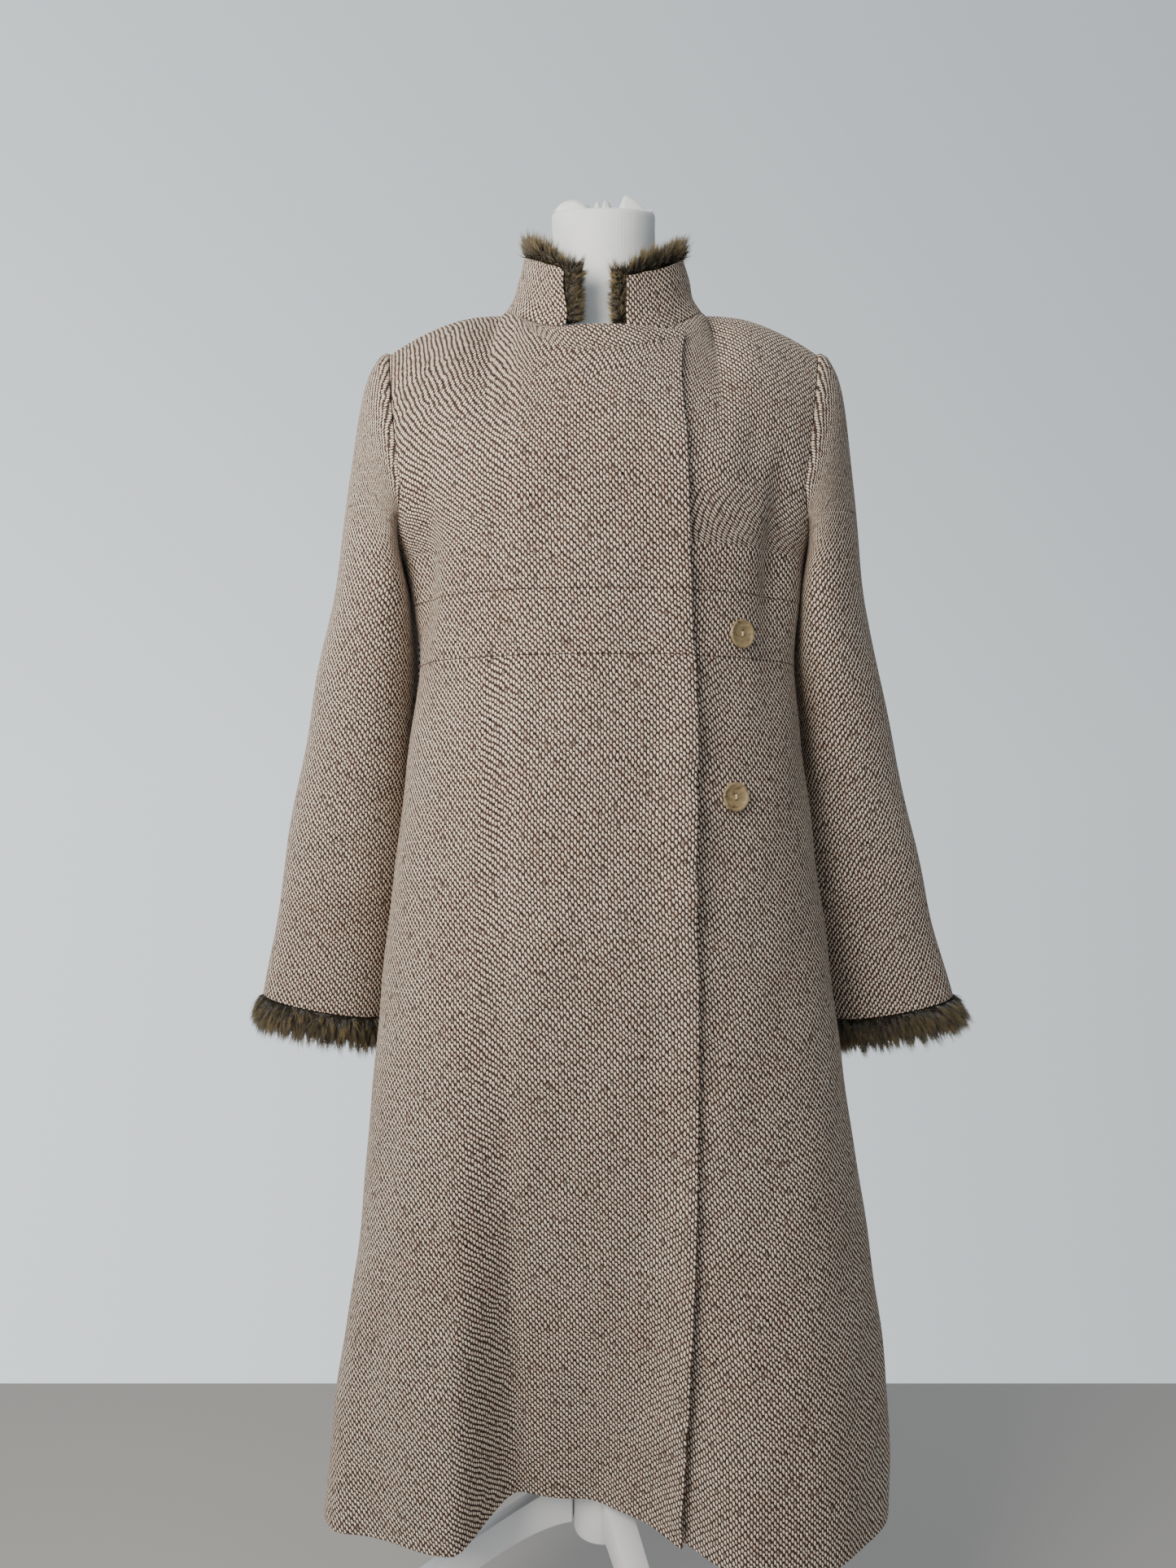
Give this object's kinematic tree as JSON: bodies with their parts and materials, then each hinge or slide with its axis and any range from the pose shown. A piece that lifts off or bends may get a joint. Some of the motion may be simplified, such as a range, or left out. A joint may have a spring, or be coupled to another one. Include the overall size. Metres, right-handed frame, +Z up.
{
  "type": "wool coat on a dress form",
  "caption": "Knee-length A-line tweed coat with a fur-faced stand collar and fur cuffs, worn on a limbless dress form with a wooden tripod stand.",
  "frame": {"origin": "middle of the part's outline in plan, on the floor under the stand's feet", "axes": "+Z up from floor to neck, front of the coat faces -Y, the wearer's left is +X"},
  "size_m": [0.763, 0.5462, 1.5812],
  "materials": {
    "tweed": "coarse wool weave, cream over brown",
    "fur": "olive-brown fur with pale tips",
    "horn": "glossy mottled horn look",
    "jersey": "matt white jersey",
    "steel": "brushed",
    "white_wood": "white satin paint"
  },
  "bodies": {
    "root": {"back_band": "tweed", "back_bodice": "tweed", "back_skirt": "tweed", "collar": "tweed", "collar_fur": "fur", "form_body": "jersey", "form_hub": "white_wood", "form_leg_front": "white_wood", "form_leg_rear": "white_wood", "form_leg_right": "white_wood", "form_neck_tie": "jersey", "form_pole": "steel", "left_cuff_fur": "fur", "left_front_band": "tweed", "left_front_bodice": "tweed", "left_front_skirt": "tweed", "left_sleeve": "tweed", "lower_button": "horn", "right_cuff_fur": "fur", "right_front_band": "tweed", "right_front_bodice": "tweed", "right_front_neck_band": "tweed", "right_front_skirt": "tweed", "right_sleeve": "tweed", "upper_button": "horn"}
  },
  "joints": []
}
